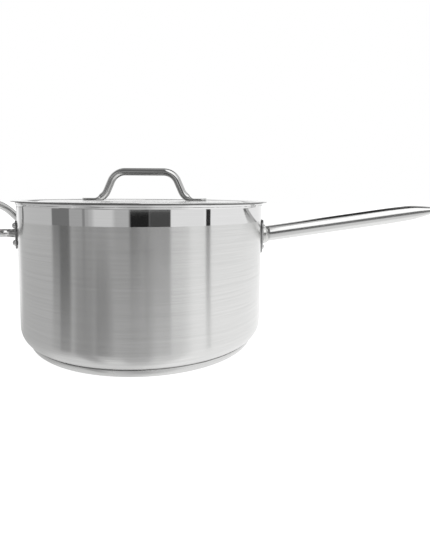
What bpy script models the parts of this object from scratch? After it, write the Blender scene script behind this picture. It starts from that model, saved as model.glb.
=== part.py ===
"""A stainless steel saucepan with a lift-off stainless lid, as separate solids.

The pot is a straight turned wall with a flared lip and an encapsulated base (an aluminium disc under a
steel cap). A hollow tube handle stands on a riveted shield plate on the +X side, and a bent rod helper
handle on two small riveted plates on the -X side. The lid has a locating channel that drops inside the
pot, and a bent rod handle with flattened feet. Metres, +Z up, origin at the centre of the base.
"""

import math

import bmesh
import bpy
from mathutils import Matrix, Vector

# Fits shared by all pieces
CLEARANCE = 0.0003
TURN_STEPS = 60

# Pot
POT_RADIUS = 0.1200
POT_RIM_HEIGHT = 0.1410
POT_WALL = 0.0010
POT_CORNER_RADIUS = 0.0170
POT_UNDERSIDE = 0.0070
LIP_FLARE = 0.0013
LIP_KNEE_DROP = 0.0016
LIP_KNEE_FLARE = 0.0009
LIP_FOOT_DROP = 0.0034

# Encapsulated base
CAP_RIM_INSET = 0.0080
CAP_SIDE_ROUNDING = 0.0115
CAP_WALL = 0.0008
BASE_GROOVE = 0.0006

# Lid
LID_OVERHANG = 0.0034
LID_WALL = 0.0010
LID_PLATEAU_DROP = 0.0005
LID_CHANNEL_DEPTH = 0.0060
LID_CHANNEL_WIDTH = 0.0110
LID_FIT_GAP = 0.0016
LID_CHANNEL_BEND = 0.0016

# Lid handle
LID_ROD_RADIUS = 0.0038
LID_HANDLE_RISE = 0.0292
LID_HANDLE_HALF_SPAN = 0.0634
LID_HANDLE_OFFSET = 0.0014
LID_HANDLE_LEG_FOOT = 0.0418
LID_HANDLE_LEG_TOP = 0.0296
LID_HANDLE_FOOT_BEND = 0.0140
LID_HANDLE_TOP_BEND = 0.0155
LID_FOOT_THICKNESS = 0.0027
LID_FOOT_WIDTH = 0.0100

# Rivets
RIVET_SHANK_RADIUS = 0.0020
RIVET_HEAD_RADIUS = 0.0029
RIVET_HEAD_HEIGHT = 0.0026
RIVET_INNER_RADIUS = 0.0040
RIVET_INNER_HEIGHT = 0.0009
RIVET_HOLE_DEPTH = 0.0120
RIVET_STEPS = 12

# Main handle
MAIN_PLATE_THICKNESS = 0.0020
MAIN_PLATE_DROP = 0.0171
MAIN_RIVET_TOP_MARGIN = 0.0074
MAIN_RIVET_BOTTOM_MARGIN = 0.0063
MAIN_RIVET_SIDE_GAP = 0.0014
MAIN_RIVET_LOW_GAP = 0.0005
HANDLE_RADIUS = 0.0080
HANDLE_WALL = 0.0012
HANDLE_ROOT_DROP = 0.0327
HANDLE_RISE_ANGLE = math.radians(8.55)
HANDLE_REACH = 0.2070
HANDLE_STRAIGHT = 0.1250
HANDLE_TONGUE = 0.0200
HANDLE_TONGUE_THICKNESS = 0.0036
HANG_HOLE_RADIUS = 0.0045
HANG_HOLE_FROM_TIP = 0.0115
COLLAR_LENGTH = 0.0045
COLLAR_THICKNESS = 0.0014

# Helper handle
HELPER_PLATE_THICKNESS = 0.0015
HELPER_PLATE_TOP_MARGIN = 0.0047
HELPER_PLATE_BOTTOM_MARGIN = 0.0057
HELPER_PLATE_WIDTH = 0.0148
HELPER_HALF_SPREAD = 0.0410
HELPER_ROD_RADIUS = 0.0040
HELPER_ROD_DROP = 0.0293
HELPER_RIVET_UPPER_GAP = 0.0003
HELPER_RIVET_LOWER_GAP = 0.0022
HELPER_REACH = 0.0530
HELPER_CORNER_RADIUS = 0.0280
HELPER_RISE = 0.0260
HELPER_RISE_START = 0.0190

# Sizes worked out from the ones above
LID_RADIUS = POT_RADIUS + LIP_FLARE + LID_OVERHANG
LID_UNDERSIDE = POT_RIM_HEIGHT + CLEARANCE
LID_TOP = LID_UNDERSIDE + LID_WALL
LID_PLATEAU = LID_TOP - LID_PLATEAU_DROP
CAP_RIM_RADIUS = POT_RADIUS - CAP_RIM_INSET
CAP_FLAT_RADIUS = CAP_RIM_RADIUS - CAP_SIDE_ROUNDING
CAP_RIM_HEIGHT = (
    POT_UNDERSIDE + POT_CORNER_RADIUS - BASE_GROOVE
    - math.sqrt(POT_CORNER_RADIUS ** 2 - (POT_CORNER_RADIUS - CAP_RIM_INSET) ** 2)
)
MAIN_PLATE_FACE = POT_RADIUS + CLEARANCE + MAIN_PLATE_THICKNESS
MAIN_PLATE_TOP = POT_RIM_HEIGHT - MAIN_PLATE_DROP
HANDLE_ROOT_HEIGHT = POT_RIM_HEIGHT - HANDLE_ROOT_DROP
COLLAR_RADIUS = HANDLE_RADIUS + CLEARANCE + COLLAR_THICKNESS
MAIN_RIVET_SPREAD = COLLAR_RADIUS + RIVET_HEAD_RADIUS + MAIN_RIVET_SIDE_GAP
MAIN_RIVET_HIGH = MAIN_PLATE_TOP - MAIN_RIVET_TOP_MARGIN
MAIN_RIVET_LOW = (
    HANDLE_ROOT_HEIGHT + (MAIN_PLATE_FACE - POT_RADIUS) * math.tan(HANDLE_RISE_ANGLE)
    - COLLAR_RADIUS / math.cos(HANDLE_RISE_ANGLE) - RIVET_HEAD_RADIUS - MAIN_RIVET_LOW_GAP
)
HELPER_PLATE_FACE = POT_RADIUS + CLEARANCE + HELPER_PLATE_THICKNESS
HELPER_ROD_HEIGHT = POT_RIM_HEIGHT - HELPER_ROD_DROP
HELPER_RIVET_HIGH = HELPER_ROD_HEIGHT + HELPER_ROD_RADIUS + RIVET_HEAD_RADIUS + HELPER_RIVET_UPPER_GAP
HELPER_RIVET_LOW = HELPER_ROD_HEIGHT - HELPER_ROD_RADIUS - RIVET_HEAD_RADIUS - HELPER_RIVET_LOWER_GAP

STEEL = (0.62, 0.61, 0.59)
BRIGHT_STEEL = (0.70, 0.69, 0.68)
ALUMINIUM = (0.55, 0.56, 0.57)


def clear_scene():
    for old in list(bpy.data.objects):
        bpy.data.objects.remove(old, do_unlink=True)


def new_collection(name):
    collection = bpy.data.collections.new(name)
    bpy.context.scene.collection.children.link(collection)
    return collection


def make_material(name, colour, roughness):
    material = bpy.data.materials.new(name)
    material.use_nodes = True
    shader = material.node_tree.nodes["Principled BSDF"]
    shader.inputs["Base Color"].default_value = (*colour, 1.0)
    shader.inputs["Metallic"].default_value = 1.0
    shader.inputs["Roughness"].default_value = roughness
    return material


def add_object(name, mesh, collection, colour=None, roughness=0.3):
    """Link a mesh as a named object; a part gets its own material, a cutter gets none."""
    thing = bpy.data.objects.new(name, mesh)
    collection.objects.link(thing)
    if colour is None:
        thing.hide_render = True
        thing.display_type = "WIRE"
    elif not mesh.materials:
        mesh.materials.append(make_material(name, colour, roughness))
    return thing


def arc(centre_r, centre_z, radius, start, end, steps):
    """Points of a round stretch of a profile, angles in degrees."""
    points = []
    for i in range(steps + 1):
        angle = math.radians(start + (end - start) * i / steps)
        points.append((centre_r + radius * math.cos(angle), centre_z + radius * math.sin(angle)))
    return points


def offset_profile(points, distance):
    """The profile moved to the left of its direction by a distance, with mitred corners."""
    moved = []
    for i, (r, z) in enumerate(points):
        before = Vector(points[max(i - 1, 0)])
        after = Vector(points[min(i + 1, len(points) - 1)])
        here = Vector((r, z))
        into = (here - before).normalized() if i else (after - here).normalized()
        out = (after - here).normalized() if i < len(points) - 1 else into
        side = Vector((-into.y - out.y, into.x + out.x)).normalized()
        reach = distance / max(side.dot(Vector((-out.y, out.x))), 0.3)
        moved.append((max(r + side.x * reach, 0.0), z + side.y * reach))
    return moved


def turned_mesh(name, profile, closed=False):
    """A mesh that holds only the profile's edges, for a Screw modifier to turn."""
    mesh = bpy.data.meshes.new(name)
    edges = [(i, i + 1) for i in range(len(profile) - 1)]
    if closed:
        edges.append((len(profile) - 1, 0))
    mesh.from_pydata([(r, 0.0, z) for r, z in profile], edges, [])
    return mesh


def add_screw(thing, steps):
    screw = thing.modifiers.new("turn", "SCREW")
    screw.axis = "Z"
    screw.steps = steps
    screw.render_steps = steps
    screw.use_merge_vertices = True
    screw.merge_threshold = 0.00001
    screw.use_smooth_shade = True


def add_turned(name, profile, collection, colour=None, roughness=0.3, steps=TURN_STEPS, closed=False):
    mesh = turned_mesh(name, profile, closed)
    thing = add_object(name, mesh, collection, colour, roughness)
    add_screw(thing, steps)
    return thing


def add_boolean(thing, operation, cutter):
    """Cut, join or intersect with one object, or with every object of a collection."""
    boolean = thing.modifiers.new(operation.lower(), "BOOLEAN")
    boolean.operation = operation
    boolean.solver = "EXACT"
    if isinstance(cutter, bpy.types.Collection):
        boolean.operand_type = "COLLECTION"
        boolean.collection = cutter
    else:
        boolean.object = cutter


def mesh_from_curve(curve, name):
    """The welded mesh of a curve, so that Boolean modifiers can use it."""
    holder = bpy.data.objects.new(name, curve)
    bpy.context.scene.collection.objects.link(holder)
    evaluated = holder.evaluated_get(bpy.context.evaluated_depsgraph_get())
    mesh = bpy.data.meshes.new_from_object(evaluated)
    bpy.data.objects.remove(holder, do_unlink=True)
    shape = bmesh.new()
    shape.from_mesh(mesh)
    bmesh.ops.remove_doubles(shape, verts=shape.verts, dist=0.000001)
    bmesh.ops.recalc_face_normals(shape, faces=shape.faces)
    shape.to_mesh(mesh)
    shape.free()
    mesh.name = name
    return mesh


def hull_outline(circles, directions=40):
    """The outline around a set of circles (x, y, radius): the farthest point in each direction."""
    outline = []
    for i in range(directions):
        angle = math.tau * (i + 0.5) / directions
        way = Vector((math.cos(angle), math.sin(angle)))
        x, y, radius = max(circles, key=lambda c: c[0] * way.x + c[1] * way.y + c[2])
        outline.append((x + way.x * radius, y + way.y * radius))
    return outline


def prism_mesh(name, outline, half_depth):
    """A flat outline extruded both ways along its normal."""
    curve = bpy.data.curves.new(name, "CURVE")
    curve.dimensions = "2D"
    curve.fill_mode = "BOTH"
    curve.extrude = half_depth
    spline = curve.splines.new("POLY")
    spline.points.add(len(outline) - 1)
    for point, (x, y) in zip(spline.points, outline):
        point.co = (x, y, 0.0, 1.0)
    spline.use_cyclic_u = True
    return mesh_from_curve(curve, name)


def wall_frame(azimuth, height):
    """A frame on the pot's wall: local X along the wall, local Y up, local Z straight out."""
    out = Vector((math.cos(azimuth), math.sin(azimuth), 0.0))
    along = Vector((-math.sin(azimuth), math.cos(azimuth), 0.0))
    up = Vector((0.0, 0.0, 1.0))
    frame = Matrix((along, up, out)).transposed().to_4x4()
    frame.translation = out * POT_RADIUS + up * height
    return frame


def loft_mesh(name, outer, inner=()):
    """A solid through closed rings of equal point counts; inner rings make a hollow open at ring 0."""
    shape = bmesh.new()
    rings = [[shape.verts.new(p) for p in ring] for ring in list(reversed(outer)) + list(inner)]
    for ring, following in zip(rings, rings[1:]):
        for i in range(len(ring)):
            j = (i + 1) % len(ring)
            shape.faces.new((ring[i], ring[j], following[j], following[i]))
    shape.faces.new(list(reversed(rings[0])))
    shape.faces.new(rings[-1])
    bmesh.ops.recalc_face_normals(shape, faces=shape.faces)
    mesh = bpy.data.meshes.new(name)
    shape.to_mesh(mesh)
    shape.free()
    mesh.shade_smooth()
    mesh.set_sharp_from_angle(angle=math.radians(40))
    return mesh


def section(centre, across, up, half_width, half_height, power=2.0, sides=20):
    """A ring of points on a superellipse around a centre."""
    ring = []
    for i in range(sides):
        angle = math.tau * i / sides
        c, s = math.cos(angle), math.sin(angle)
        x = math.copysign(abs(c) ** (2.0 / power), c) * half_width
        y = math.copysign(abs(s) ** (2.0 / power), s) * half_height
        ring.append(centre + across * x + up * y)
    return ring


def flattened_width(diameter, thickness):
    """The width of a round tube pressed flat to a thickness: its perimeter stays the same."""
    return thickness + math.pi * (diameter - thickness) / 2


def smooth_step(value):
    value = min(max(value, 0.0), 1.0)
    return value * value * (3.0 - 2.0 * value)


def pot_outer_profile():
    """The outside of the pot from its lip down to the axis."""
    corner_r = POT_RADIUS - POT_CORNER_RADIUS
    corner_z = POT_UNDERSIDE + POT_CORNER_RADIUS
    profile = [
        (POT_RADIUS + LIP_FLARE, POT_RIM_HEIGHT - POT_WALL / 2),
        (POT_RADIUS + LIP_KNEE_FLARE, POT_RIM_HEIGHT - LIP_KNEE_DROP),
        (POT_RADIUS, POT_RIM_HEIGHT - LIP_FOOT_DROP),
    ]
    profile += arc(corner_r, corner_z, POT_CORNER_RADIUS, 0, -90, 6)
    profile.append((0.0, POT_UNDERSIDE))
    return profile


def add_pot_body(parts, rivet_holes):
    outer = pot_outer_profile()
    inner = offset_profile(outer, -POT_WALL)
    inner[-1] = (0.0, inner[-1][1])
    lip_top = (POT_RADIUS + LIP_FLARE - POT_WALL / 2, POT_RIM_HEIGHT)
    profile = list(reversed(inner)) + [lip_top] + outer
    pot = add_turned("pot_body", profile, parts, STEEL, 0.32)
    add_boolean(pot, "DIFFERENCE", rivet_holes)


def cap_outer_profile():
    """The outside of the base cap from its rim round to the flat and in to the axis."""
    profile = []
    for i in range(6):
        angle = math.radians(18 * i)
        r = CAP_FLAT_RADIUS + (CAP_RIM_RADIUS - CAP_FLAT_RADIUS) * math.cos(angle)
        profile.append((r, CAP_RIM_HEIGHT * (1 - math.sin(angle))))
    profile.append((0.0, 0.0))
    return profile


def add_base_cap(parts):
    outer = cap_outer_profile()
    inner = offset_profile(outer, -CAP_WALL)
    add_turned("base_cap", list(reversed(inner)) + outer, parts, STEEL, 0.3)


def add_base_core_disc(parts):
    """The aluminium disc fills the space between the pot's underside and the cap, short of the groove."""
    corner_r = POT_RADIUS - POT_CORNER_RADIUS
    corner_z = POT_UNDERSIDE + POT_CORNER_RADIUS
    top = [(0.0, POT_UNDERSIDE - CLEARANCE)]
    top += arc(corner_r, corner_z, POT_CORNER_RADIUS + CLEARANCE, -90, -73, 2)
    lower = offset_profile(cap_outer_profile(), -CAP_WALL - CLEARANCE)[2:]
    add_turned("base_core_disc", top + lower, parts, ALUMINIUM, 0.4)


def lid_top_profile():
    """The lid's upper side from the axis out: plateau, locating channel, flange."""
    channel_outer = POT_RADIUS - POT_WALL - LID_FIT_GAP - LID_WALL
    channel_inner = channel_outer - LID_CHANNEL_WIDTH
    bend = LID_CHANNEL_BEND
    floor = LID_TOP - LID_CHANNEL_DEPTH
    profile = [(0.0, LID_PLATEAU)]
    profile += arc(channel_inner - 3 * bend, LID_PLATEAU - bend, bend, 90, 45, 1)
    profile += arc(channel_inner + bend, floor + bend, bend, -135, -90, 1)
    profile += arc(channel_outer - bend, floor + bend, bend, -90, 0, 2)
    profile += arc(channel_outer + bend, LID_TOP - bend, bend, 180, 90, 2)
    profile.append((LID_RADIUS - LID_WALL / 3, LID_TOP))
    profile.append((LID_RADIUS, LID_TOP - LID_WALL / 3))
    return profile


def add_lid_cover(parts):
    top = lid_top_profile()
    under = offset_profile(top[:-2], -LID_WALL)
    under[0] = (0.0, LID_PLATEAU - LID_WALL)
    under.append((LID_RADIUS - LID_WALL / 3, LID_UNDERSIDE))
    under.append((LID_RADIUS, LID_UNDERSIDE + LID_WALL / 3))
    add_turned("lid_cover", top + list(reversed(under)), parts, BRIGHT_STEEL, 0.15)


def lid_handle_stations():
    """Half of the lid handle from its foot's tip to the middle: (x, z, slope, half width, half height)."""
    foot_half = LID_FOOT_THICKNESS / 2
    foot_z = LID_PLATEAU + CLEARANCE + foot_half
    top_z = foot_z + LID_HANDLE_RISE - foot_half
    run = LID_HANDLE_LEG_FOOT - LID_HANDLE_LEG_TOP
    lean = math.atan2(top_z - foot_z, run)
    half_foot_width = LID_FOOT_WIDTH / 2
    stations = []
    for share in (0.35, 0.7, 0.9, 1.0):
        x = LID_HANDLE_HALF_SPAN - half_foot_width * (1 - math.sqrt(1 - share ** 2))
        stations.append((x, foot_z, 0.0, half_foot_width * share, foot_half))
    foot_bend_x = LID_HANDLE_LEG_FOOT + LID_HANDLE_FOOT_BEND * math.tan(lean / 2)
    for i in range(7):
        slope = lean * i / 6
        x = foot_bend_x - LID_HANDLE_FOOT_BEND * math.sin(slope)
        z = foot_z + LID_HANDLE_FOOT_BEND * (1 - math.cos(slope))
        room = (LID_HANDLE_FOOT_BEND + foot_half) / math.cos(slope) - LID_HANDLE_FOOT_BEND
        height = min(LID_ROD_RADIUS, room)
        flat = flattened_width(2 * LID_ROD_RADIUS, 2 * height) / 2
        stations.append((x, z, slope, flat, height))
    top_bend_x = LID_HANDLE_LEG_TOP - LID_HANDLE_TOP_BEND * math.tan(lean / 2)
    for i in range(6):
        slope = lean * (5 - i) / 5
        x = top_bend_x + LID_HANDLE_TOP_BEND * math.sin(slope)
        z = top_z - LID_HANDLE_TOP_BEND * (1 - math.cos(slope))
        stations.append((x, z, slope, LID_ROD_RADIUS, LID_ROD_RADIUS))
    return stations


def add_lid_handle(parts):
    half = lid_handle_stations()
    rings = []
    for side, stations in ((1, half), (-1, reversed(half))):
        for x, z, slope, half_width, half_height in stations:
            up = Vector((side * math.sin(slope), 0.0, math.cos(slope)))
            centre = Vector((side * x + LID_HANDLE_OFFSET, 0.0, z))
            power = 2.0 + 1.2 * (1.0 - min(half_height / LID_ROD_RADIUS, 1.0))
            rings.append(section(centre, Vector((0, 1, 0)), up, half_width, half_height, power, 14))
    add_object("lid_handle", loft_mesh("lid_handle", rings), parts, STEEL, 0.28)


def main_handle_frame():
    """Unit vectors along the main handle and up from its axis, and its start on the wall."""
    along = Vector((math.cos(HANDLE_RISE_ANGLE), 0.0, math.sin(HANDLE_RISE_ANGLE)))
    up = Vector((-math.sin(HANDLE_RISE_ANGLE), 0.0, math.cos(HANDLE_RISE_ANGLE)))
    return along, up, Vector((POT_RADIUS, 0.0, HANDLE_ROOT_HEIGHT))


def handle_thickness(distance):
    """Round along the grip, then pressed flat ever faster towards the tongue."""
    flat_start = HANDLE_REACH - HANDLE_TONGUE
    share = (distance - HANDLE_STRAIGHT) / (flat_start - HANDLE_STRAIGHT)
    share = min(max(share, 0.0), 1.0)
    drop = 0.45 * share ** 2 + 0.55 * smooth_step((share - 0.45) / 0.55)
    return 2 * HANDLE_RADIUS - (2 * HANDLE_RADIUS - HANDLE_TONGUE_THICKNESS) * drop


def add_main_handle_tube(parts, cutters, face_cutter):
    along, up, root = main_handle_frame()
    across = Vector((0, 1, 0))
    flat_start = HANDLE_REACH - HANDLE_TONGUE
    tip_half = flattened_width(2 * HANDLE_RADIUS, HANDLE_TONGUE_THICKNESS) / 2
    distances = [-HANDLE_RADIUS / 2, HANDLE_STRAIGHT]
    distances += [HANDLE_STRAIGHT + (flat_start - HANDLE_STRAIGHT) * i / 10 for i in range(1, 11)]
    outer = []
    inner = []
    for distance in distances:
        thickness = handle_thickness(distance)
        width = flattened_width(2 * HANDLE_RADIUS, thickness)
        power = 2.0 + 1.5 * (1.0 - thickness / (2 * HANDLE_RADIUS))
        centre = root + along * distance
        outer.append(section(centre, across, up, width / 2, thickness / 2, power))
        if thickness > 2 * HANDLE_WALL + HANDLE_TONGUE_THICKNESS / 3:
            bore = (width / 2 - HANDLE_WALL, thickness / 2 - HANDLE_WALL)
            inner.append(section(centre, across, up, bore[0], bore[1], power))
    for angle in (0, 30, 50, 65, 78):
        share = math.cos(math.radians(angle))
        distance = HANDLE_REACH - tip_half * (1 - math.sin(math.radians(angle)))
        half_height = HANDLE_TONGUE_THICKNESS / 2
        outer.append(section(root + along * distance, across, up, tip_half * share, half_height, 3.3))
    mesh = loft_mesh("main_handle_tube", outer, inner)
    tube = add_object("main_handle_tube", mesh, parts, STEEL, 0.3)
    hole = add_cylinder("hang_hole", HANG_HOLE_RADIUS, 3 * HANDLE_RADIUS, 24, cutters)
    hole.location = root + along * (HANDLE_REACH - HANG_HOLE_FROM_TIP)
    hole.rotation_euler = (0.0, -HANDLE_RISE_ANGLE, 0.0)
    add_boolean(tube, "DIFFERENCE", face_cutter)
    add_boolean(tube, "DIFFERENCE", hole)


def add_cylinder(name, radius, depth, sides, collection):
    """A cutter: a closed cylinder along local Z, centred on its origin."""
    shape = bmesh.new()
    bmesh.ops.create_cone(shape, cap_ends=True, segments=sides, radius1=radius, radius2=radius, depth=depth)
    mesh = bpy.data.meshes.new(name)
    shape.to_mesh(mesh)
    shape.free()
    return add_object(name, mesh, collection)


def add_main_handle_collar(parts, face_cutter):
    """The weld collar that rings the tube where it meets the plate."""
    along, up, root = main_handle_frame()
    bore = HANDLE_RADIUS + CLEARANCE
    start = -HANDLE_RADIUS / 2
    end = MAIN_PLATE_FACE - POT_RADIUS + COLLAR_LENGTH
    profile = [
        (bore, end),
        (bore + COLLAR_THICKNESS * 0.6, end - COLLAR_THICKNESS * 0.2),
        (COLLAR_RADIUS, end - COLLAR_LENGTH * 0.7),
        (COLLAR_RADIUS, start),
        (bore, start),
    ]
    collar = add_turned("main_handle_collar", profile, parts, BRIGHT_STEEL, 0.3, 24, closed=True)
    collar.location = root
    collar.rotation_euler = (0.0, math.pi / 2 - HANDLE_RISE_ANGLE, 0.0)
    add_boolean(collar, "DIFFERENCE", face_cutter)


def add_curved_plate(name, azimuth, outline, thickness, parts, cutters, rivet_holes):
    """A plate of a flat outline, bent around the pot's wall and drilled for its rivets."""
    low = POT_RADIUS + CLEARANCE
    heights = (min(y for x, y in outline) - 0.002, max(y for x, y in outline) + 0.002)
    ring = [
        (low + thickness, heights[1]),
        (low + thickness, heights[0]),
        (low, heights[0]),
        (low, heights[1]),
    ]
    blank = add_turned(name, ring, parts, STEEL, 0.3, 2 * TURN_STEPS, closed=True)
    prism = add_object(name + "_outline", prism_mesh(name + "_outline", outline, POT_RADIUS / 4), cutters)
    prism.matrix_world = wall_frame(azimuth, 0.0)
    add_boolean(blank, "INTERSECT", prism)
    add_boolean(blank, "DIFFERENCE", rivet_holes)


def main_rivet_places():
    """(azimuth, height) of the main plate's rivets: two flank the tube, one sits below it."""
    spread = math.asin(MAIN_RIVET_SPREAD / POT_RADIUS)
    return [(spread, MAIN_RIVET_HIGH), (-spread, MAIN_RIVET_HIGH), (0.0, MAIN_RIVET_LOW)]


def add_main_handle_plate(parts, cutters, rivet_holes):
    circles = [
        (MAIN_RIVET_SPREAD, MAIN_RIVET_HIGH, MAIN_RIVET_TOP_MARGIN),
        (-MAIN_RIVET_SPREAD, MAIN_RIVET_HIGH, MAIN_RIVET_TOP_MARGIN),
        (0.0, MAIN_RIVET_LOW, MAIN_RIVET_BOTTOM_MARGIN),
    ]
    outline = hull_outline(circles)
    thickness = MAIN_PLATE_THICKNESS
    add_curved_plate("main_handle_plate", 0.0, outline, thickness, parts, cutters, rivet_holes)


def helper_azimuths():
    turn = math.asin(HELPER_HALF_SPREAD / HELPER_PLATE_FACE)
    return {"front": math.pi + turn, "back": math.pi - turn}


def add_helper_plates(parts, cutters, rivet_holes):
    radius = HELPER_PLATE_WIDTH / 2
    top = HELPER_RIVET_HIGH + HELPER_PLATE_TOP_MARGIN
    bottom = HELPER_RIVET_LOW - HELPER_PLATE_BOTTOM_MARGIN
    outline = hull_outline([(0.0, top - radius, radius), (0.0, bottom + radius, radius)], 24)
    for side, azimuth in helper_azimuths().items():
        name = "helper_handle_plate_" + side
        add_curved_plate(name, azimuth, outline, HELPER_PLATE_THICKNESS, parts, cutters, rivet_holes)


def helper_rivet_places():
    places = []
    for azimuth in helper_azimuths().values():
        for height in (HELPER_RIVET_HIGH, HELPER_RIVET_LOW):
            places.append((azimuth, height))
    return places


def helper_route():
    """The rod's centreline: two parallel legs and a crossbar in plan, rising smoothly outwards."""
    wall = math.sqrt(POT_RADIUS ** 2 - HELPER_HALF_SPREAD ** 2)
    corner_out = HELPER_REACH - HELPER_CORNER_RADIUS
    corner_side = HELPER_HALF_SPREAD - HELPER_CORNER_RADIUS
    half = [(-HELPER_ROD_RADIUS, HELPER_HALF_SPREAD), (HELPER_RISE_START, HELPER_HALF_SPREAD)]
    for i in range(13):
        angle = math.pi / 2 * i / 12
        out = corner_out + HELPER_CORNER_RADIUS * math.sin(angle)
        half.append((out, corner_side + HELPER_CORNER_RADIUS * math.cos(angle)))
    plan = half + [(out, -side) for out, side in reversed(half)]
    route = []
    for out, side in plan:
        lift = smooth_step((out - HELPER_RISE_START) / (HELPER_REACH - HELPER_RISE_START))
        route.append((-wall - out, side, HELPER_ROD_HEIGHT + HELPER_RISE * lift))
    return route


def add_helper_rod(parts, cutters):
    curve = bpy.data.curves.new("helper_handle_rod", "CURVE")
    curve.dimensions = "3D"
    curve.bevel_depth = HELPER_ROD_RADIUS
    curve.bevel_resolution = 5
    curve.use_fill_caps = True
    route = helper_route()
    spline = curve.splines.new("POLY")
    spline.points.add(len(route) - 1)
    for point, place in zip(spline.points, route):
        point.co = (*place, 1.0)
    mesh = mesh_from_curve(curve, "helper_handle_rod")
    mesh.shade_smooth()
    rod = add_object("helper_handle_rod", mesh, parts, STEEL, 0.28)
    rod_face = add_face_cutter("helper_face_cutter", HELPER_PLATE_FACE, cutters)
    add_boolean(rod, "DIFFERENCE", rod_face)


def add_face_cutter(name, face_radius, cutters):
    """A drum just larger than a plate's outer face, which trims what ends on that face."""
    depth = POT_RIM_HEIGHT * 1.5
    drum = add_cylinder(name, face_radius + CLEARANCE, depth, 2 * TURN_STEPS, cutters)
    drum.location = (0.0, 0.0, POT_RIM_HEIGHT / 2)
    return drum


def rivet_profile(plate_thickness):
    """Half a rivet along its own axis, measured out from the wall: domed head, shank, flat inner head."""
    seat = 2 * CLEARANCE + plate_thickness
    facet_sag = POT_RADIUS * (1 - math.cos(math.pi / TURN_STEPS))
    curve_sag = RIVET_INNER_RADIUS ** 2 / (2 * (POT_RADIUS - POT_WALL))
    inner_top = -(POT_WALL + CLEARANCE + facet_sag + curve_sag)
    profile = []
    for i in range(4):
        angle = math.radians(90 - 30 * i)
        profile.append((RIVET_HEAD_RADIUS * math.cos(angle), seat + RIVET_HEAD_HEIGHT * math.sin(angle)))
    profile[0] = (0.0, seat + RIVET_HEAD_HEIGHT)
    profile.append((RIVET_SHANK_RADIUS, seat))
    profile.append((RIVET_SHANK_RADIUS, inner_top))
    profile.append((RIVET_INNER_RADIUS, inner_top))
    profile.append((RIVET_INNER_RADIUS * 0.8, inner_top - RIVET_INNER_HEIGHT))
    profile.append((0.0, inner_top - RIVET_INNER_HEIGHT))
    return profile


def add_rivets(kind, places, plate_thickness, parts):
    profile = rivet_profile(plate_thickness)
    mesh = turned_mesh(kind, profile)
    for number, (azimuth, height) in enumerate(places, 1):
        rivet = add_object(f"{kind}_{number}", mesh, parts, BRIGHT_STEEL, 0.25)
        add_screw(rivet, RIVET_STEPS)
        rivet.matrix_world = wall_frame(azimuth, height)


def add_rivet_holes(places, cutters):
    holes = new_collection("saucepan_rivet_holes")
    for number, (azimuth, height) in enumerate(places, 1):
        hole = add_cylinder(f"rivet_hole_{number}", RIVET_SHANK_RADIUS + CLEARANCE, RIVET_HOLE_DEPTH, RIVET_STEPS, holes)
        hole.matrix_world = wall_frame(azimuth, height)
    return holes


def build_saucepan():
    clear_scene()
    parts = new_collection("saucepan")
    cutters = new_collection("saucepan_cutters")
    main_rivets = main_rivet_places()
    helper_rivets = helper_rivet_places()
    rivet_holes = add_rivet_holes(main_rivets + helper_rivets, cutters)
    main_face = add_face_cutter("main_face_cutter", MAIN_PLATE_FACE, cutters)
    add_pot_body(parts, rivet_holes)
    add_base_core_disc(parts)
    add_base_cap(parts)
    add_main_handle_plate(parts, cutters, rivet_holes)
    add_main_handle_collar(parts, main_face)
    add_main_handle_tube(parts, cutters, main_face)
    add_rivets("main_handle_rivet", main_rivets, MAIN_PLATE_THICKNESS, parts)
    add_helper_plates(parts, cutters, rivet_holes)
    add_helper_rod(parts, cutters)
    add_rivets("helper_handle_rivet", helper_rivets, HELPER_PLATE_THICKNESS, parts)
    add_lid_cover(parts)
    add_lid_handle(parts)


build_saucepan()
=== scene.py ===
import math

import bpy
import numpy as np
from mathutils import Matrix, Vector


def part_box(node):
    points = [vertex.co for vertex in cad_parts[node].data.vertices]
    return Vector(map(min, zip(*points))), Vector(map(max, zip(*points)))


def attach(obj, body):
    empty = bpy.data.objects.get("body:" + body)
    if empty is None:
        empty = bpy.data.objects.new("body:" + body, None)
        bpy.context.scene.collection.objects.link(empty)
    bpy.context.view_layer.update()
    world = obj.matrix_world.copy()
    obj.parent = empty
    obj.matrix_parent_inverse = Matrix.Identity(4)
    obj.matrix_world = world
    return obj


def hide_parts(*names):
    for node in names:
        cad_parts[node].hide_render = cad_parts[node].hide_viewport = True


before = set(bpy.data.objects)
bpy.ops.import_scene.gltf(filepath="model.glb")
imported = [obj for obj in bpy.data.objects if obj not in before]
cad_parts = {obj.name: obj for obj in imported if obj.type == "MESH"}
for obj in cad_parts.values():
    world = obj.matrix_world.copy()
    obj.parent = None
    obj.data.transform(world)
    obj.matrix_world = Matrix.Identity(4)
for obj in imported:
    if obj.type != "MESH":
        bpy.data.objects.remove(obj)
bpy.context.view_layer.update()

# Camera: it stands low and close to the pot, just above the rim and to the right of its axis,
# and looks slightly down, so that the long handle runs out past the right edge of the view.
sensor, focal_share = 36.0, 425.0 / 537.0
tilt_down, roll = math.radians(6.28), math.radians(0.39)
camera_place = (0.05463, -0.43665, 0.14943)
camera_data = bpy.data.cameras.new("camera")
camera_data.sensor_width = sensor
camera_data.lens = sensor * focal_share
camera_data.shift_x = 0.0349
camera_data.shift_y = -0.0521
camera = bpy.data.objects.new("camera", camera_data)
bpy.context.scene.collection.objects.link(camera)
bpy.context.scene.camera = camera
aim = Matrix.Rotation(math.pi / 2 - tilt_down, 4, "X") @ Matrix.Rotation(roll, 4, "Z")
camera.matrix_world = Matrix.Translation(camera_place) @ aim
bpy.context.scene.view_settings.view_transform = "Standard"


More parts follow.
